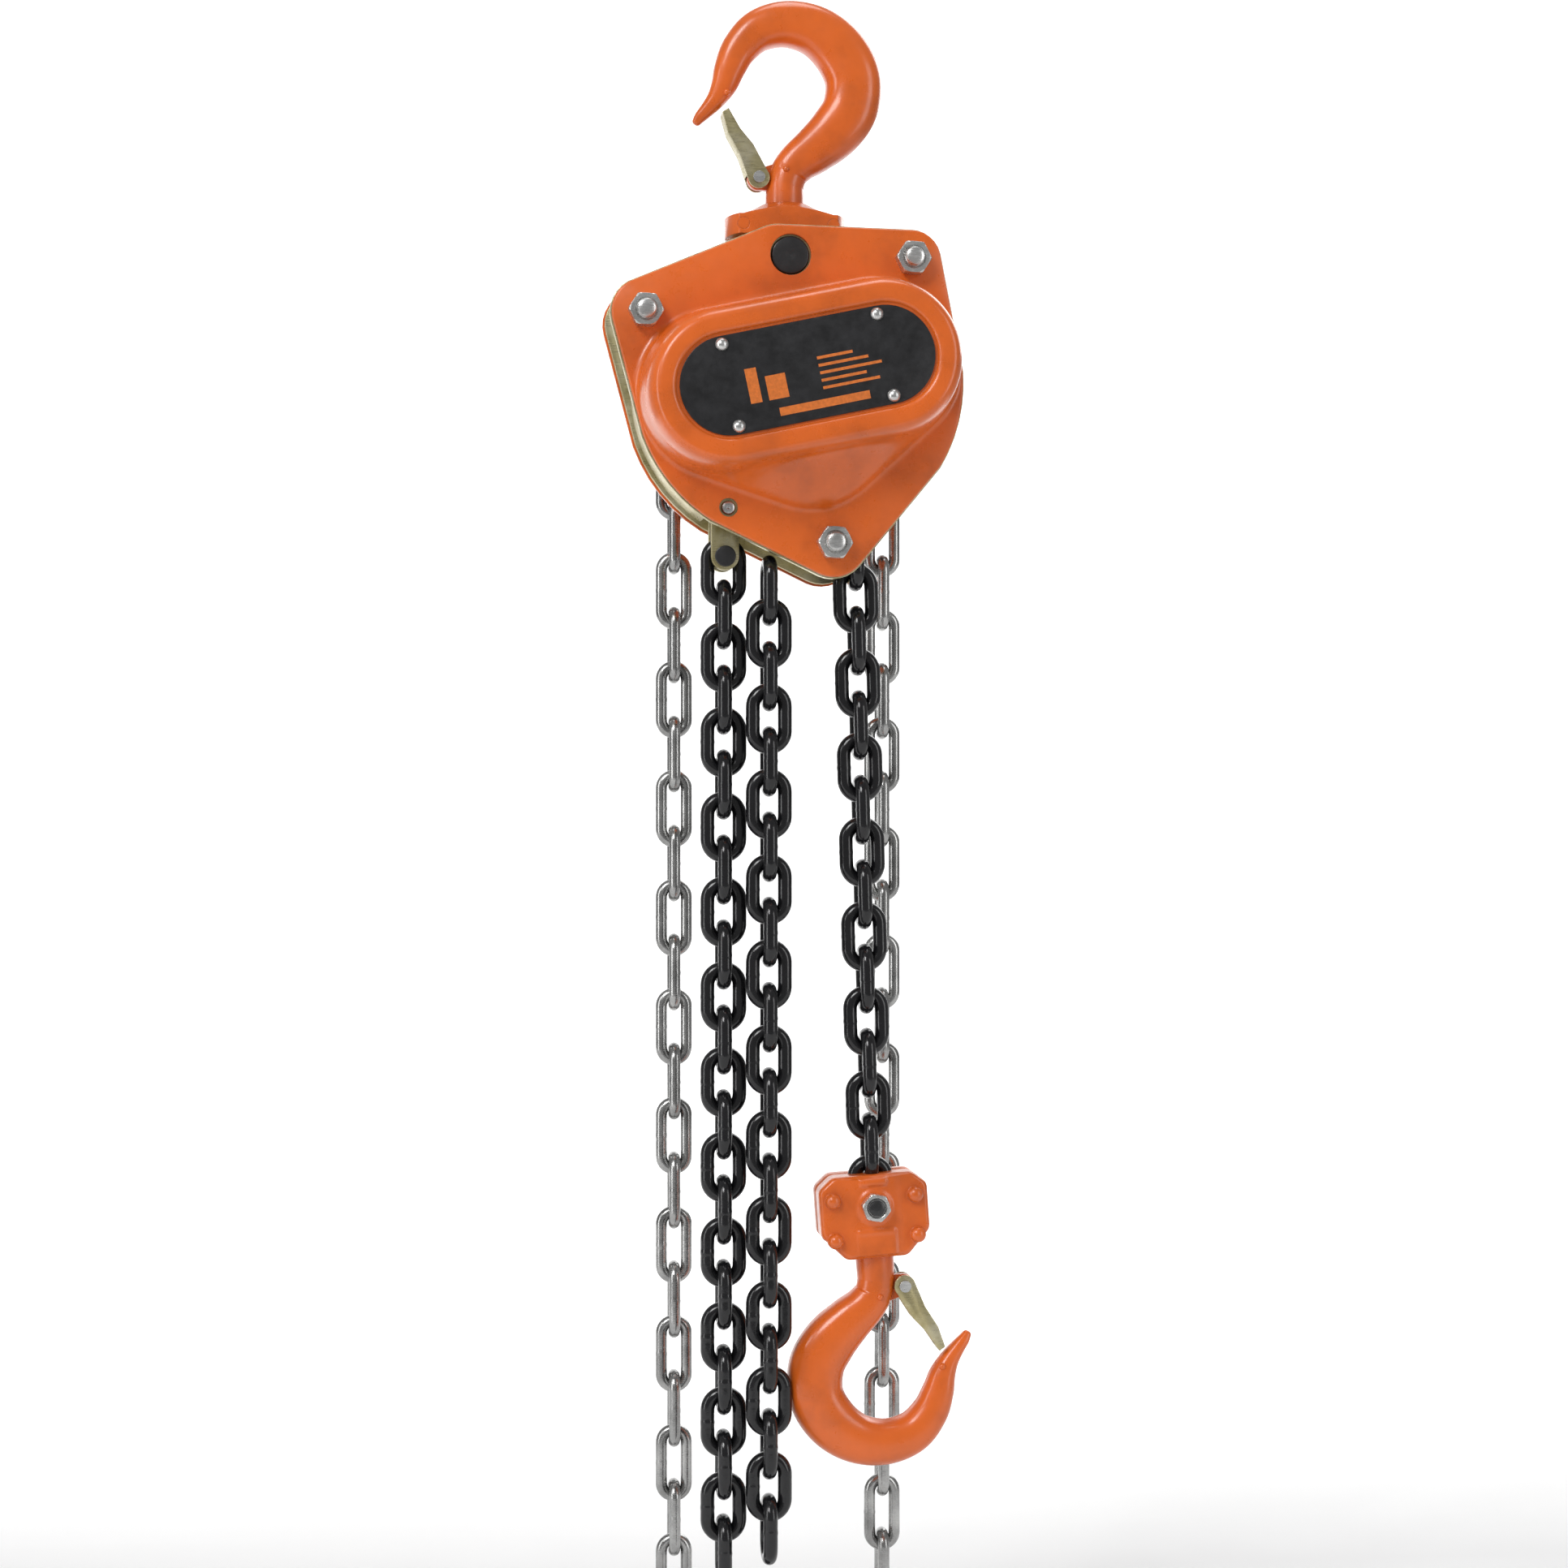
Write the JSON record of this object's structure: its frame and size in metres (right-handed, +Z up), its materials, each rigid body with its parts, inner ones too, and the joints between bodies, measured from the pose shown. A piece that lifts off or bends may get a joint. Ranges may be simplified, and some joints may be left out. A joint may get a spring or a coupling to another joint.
{
  "type": "manual chain hoist",
  "caption": "Hand-operated chain hoist with swivelling top and bottom hooks, enclosed gear case, brake and hand chain wheel.",
  "frame": {"origin": "the seat of the top hook bowl, where the hoist hangs", "axes": "+X to the right across the gear cover, +Y from the gear cover towards the hand wheel, +Z up along the hanging line"},
  "size_m": [0.1568, 0.1283, 0.7456],
  "materials": {
    "hook_orange": "gloss paint over forged steel",
    "cover_orange": "gloss powder coat",
    "yellow_zinc": "yellow zinc plate",
    "bright_zinc": "bright zinc plate",
    "hand_chain_zinc": "bright zinc plate",
    "load_chain_black": "gloss black finish",
    "black_steel": "black oxide",
    "machined_steel": "oiled machined steel",
    "cast_wheel": "zinc plated casting",
    "label_black": "gloss black plate",
    "friction_brown": "bonded friction lining",
    "bronze": "sintered bronze",
    "spring_steel": "oiled spring wire"
  },
  "bodies": {
    "top hook": {"top_hook": "hook_orange", "top_hook_collar": "machined_steel", "top_latch_pin": "bright_zinc"},
    "top latch": {"top_latch": "yellow_zinc", "top_latch_spring": "spring_steel"},
    "yoke": {"yoke_front_half": "cover_orange", "yoke_rear_half": "cover_orange", "yoke_rivets": "cover_orange"},
    "hoist frame": {"top_pin": "black_steel", "gear_side_plate": "yellow_zinc", "wheel_side_plate": "yellow_zinc", "side_shroud_left": "yellow_zinc", "side_shroud_right": "yellow_zinc", "stay_bolts": "bright_zinc", "stay_nuts": "bright_zinc", "gear_cover": "cover_orange", "rating_plate": "label_black", "rating_rivets": "bright_zinc", "sheave_bearings": "machined_steel", "bearing_balls": "machined_steel", "idler_bushes": "bronze", "pawl_studs": "machined_steel", "pawl_springs": "spring_steel", "wheel_cover": "cover_orange", "guide_rollers": "machined_steel", "guide_pins": "bright_zinc", "chain_stripper": "black_steel", "anchor_pivot_pin": "bright_zinc", "load_chain_wrap": "load_chain_black", "hand_chain_wrap": "hand_chain_zinc"},
    "load sheave": {"load_sheave": "black_steel", "load_gear": "machined_steel", "load_gear_circlip": "machined_steel"},
    "hand wheel and shaft": {"pinion_shaft": "machined_steel", "brake_seat": "machined_steel", "friction_discs": "friction_brown", "hand_wheel": "cast_wheel", "castle_nut": "bright_zinc", "cotter_pin": "bright_zinc"},
    "left idler": {"idler_gear_left": "machined_steel"},
    "right idler": {"idler_gear_right": "machined_steel"},
    "ratchet disc": {"ratchet_disc": "machined_steel"},
    "upper pawl": {"pawl_upper": "machined_steel"},
    "lower pawl": {"pawl_lower": "machined_steel"},
    "chain anchor": {"anchor_shackle": "yellow_zinc", "anchor_pin": "black_steel"},
    "slack chain": {"load_chain_slack": "load_chain_black"},
    "chain lead": {"load_chain_lead": "load_chain_black"},
    "chain fall": {"load_chain_fall": "load_chain_black"},
    "bottom block": {"block_front_half": "cover_orange", "block_rear_half": "cover_orange", "block_rivets": "cover_orange", "block_pin": "black_steel", "block_pin_nut": "bright_zinc"},
    "bottom hook": {"bottom_hook": "hook_orange", "bottom_hook_collar": "machined_steel", "bottom_latch_pin": "bright_zinc"},
    "bottom latch": {"bottom_latch": "yellow_zinc", "bottom_latch_spring": "spring_steel"},
    "hand chain": {"hand_chain_loop": "hand_chain_zinc"}
  },
  "joints": [
    {"name": "top_latch_pivot", "type": "hinge", "parent": "top hook", "child": "top latch", "pos_m": [-0.0115, 0, -0.0565], "axis": [0, 1, 0], "range_deg": [0, 32], "stiffness_Nm_per_rad": 0.02, "springref_deg": -20.05},
    {"name": "yoke_swivel", "type": "hinge", "parent": "top hook", "child": "yoke", "pos_m": [0, 0, -0.078], "axis": [0, 0, 1], "continuous": true},
    {"name": "body_swing", "type": "hinge", "parent": "yoke", "child": "hoist frame", "pos_m": [0, 0, -0.0918], "axis": [0, 1, 0], "range_deg": [-10, 14]},
    {"name": "hand_wheel_turn", "type": "hinge", "parent": "hoist frame", "child": "hand wheel and shaft", "pos_m": [0.0036, 0.052, -0.14399], "axis": [0, 1, 0], "range_deg": [-1440, 1440], "deforming": ["hand_chain_wrap"]},
    {"name": "left_idler_turn", "type": "hinge", "parent": "hoist frame", "child": "left idler", "pos_m": [-0.02941, -0.03, -0.15101], "axis": [0, 1, 0], "range_deg": [-288, 288]},
    {"name": "right_idler_turn", "type": "hinge", "parent": "hoist frame", "child": "right idler", "pos_m": [0.03661, -0.03, -0.13698], "axis": [0, 1, 0], "range_deg": [-288, 288]},
    {"name": "sheave_turn", "type": "hinge", "parent": "hoist frame", "child": "load sheave", "pos_m": [0.0036, 0, -0.14399], "axis": [0, 1, 0], "range_deg": [-72, 72]},
    {"name": "ratchet_play", "type": "hinge", "parent": "hoist frame", "child": "ratchet disc", "pos_m": [0.0036, 0.03, -0.14399], "axis": [0, 1, 0], "range_deg": [-2.7, 0.4]},
    {"name": "upper_pawl_pivot", "type": "hinge", "parent": "hoist frame", "child": "upper pawl", "pos_m": [-0.01288, 0.03, -0.1032], "axis": [0, 1, 0], "range_deg": [0, 12], "stiffness_Nm_per_rad": 0.02, "springref_deg": -17.19},
    {"name": "lower_pawl_pivot", "type": "hinge", "parent": "hoist frame", "child": "lower pawl", "pos_m": [0.02008, 0.03, -0.18479], "axis": [0, 1, 0], "range_deg": [0, 12], "stiffness_Nm_per_rad": 0.02, "springref_deg": -17.19},
    {"name": "anchor_pivot", "type": "hinge", "parent": "hoist frame", "child": "chain anchor", "pos_m": [-0.02607, 0, -0.19774], "axis": [0, 1, 0], "range_deg": [-1.2, 1.2]},
    {"name": "slack_swing", "type": "hinge", "parent": "hoist frame", "child": "slack chain", "pos_m": [-0.02607, 0, -0.21704], "axis": [1, 0, 0], "range_deg": [-2, 0]},
    {"name": "hook_travel", "type": "slide", "parent": "hoist frame", "child": "chain lead", "axis": [0, 0, 1], "range_m": [-0.0361, 0.0361], "deforming": ["load_chain_wrap", "load_chain_lead"]},
    {"name": "fall_swing", "type": "hinge", "parent": "chain lead", "child": "chain fall", "pos_m": [0.03032, 0, -0.22799], "axis": [0, 1, 0], "range_deg": [-8, 0]},
    {"name": "block_swing", "type": "hinge", "parent": "chain fall", "child": "bottom block", "pos_m": [0.03699, 0, -0.49141], "axis": [0, 1, 0], "range_deg": [-8, 0]},
    {"name": "bottom_hook_swivel", "type": "hinge", "parent": "bottom block", "child": "bottom hook", "pos_m": [0.03839, 0, -0.51136], "axis": [0.0698, 0, -0.9976], "continuous": true},
    {"name": "bottom_latch_pivot", "type": "hinge", "parent": "bottom hook", "child": "bottom latch", "pos_m": [0.05097, 0, -0.52652], "axis": [0, 1, 0], "range_deg": [0, 32], "stiffness_Nm_per_rad": 0.02, "springref_deg": -20.05},
    {"name": "hand_chain_swing", "type": "hinge", "parent": "hoist frame", "child": "hand chain", "pos_m": [0.0036, 0.052, -0.19199], "axis": [1, 0, 0], "range_deg": [-1.5, 5]}
  ],
  "couplings": [
    {"joint": "left_idler_turn", "follows": "hand_wheel_turn", "ratio": -0.2},
    {"joint": "right_idler_turn", "follows": "hand_wheel_turn", "ratio": -0.2},
    {"joint": "sheave_turn", "follows": "hand_wheel_turn", "ratio": 0.05},
    {"joint": "hook_travel", "follows": "hand_wheel_turn", "m_per_rad": -0.0014324}
  ]
}
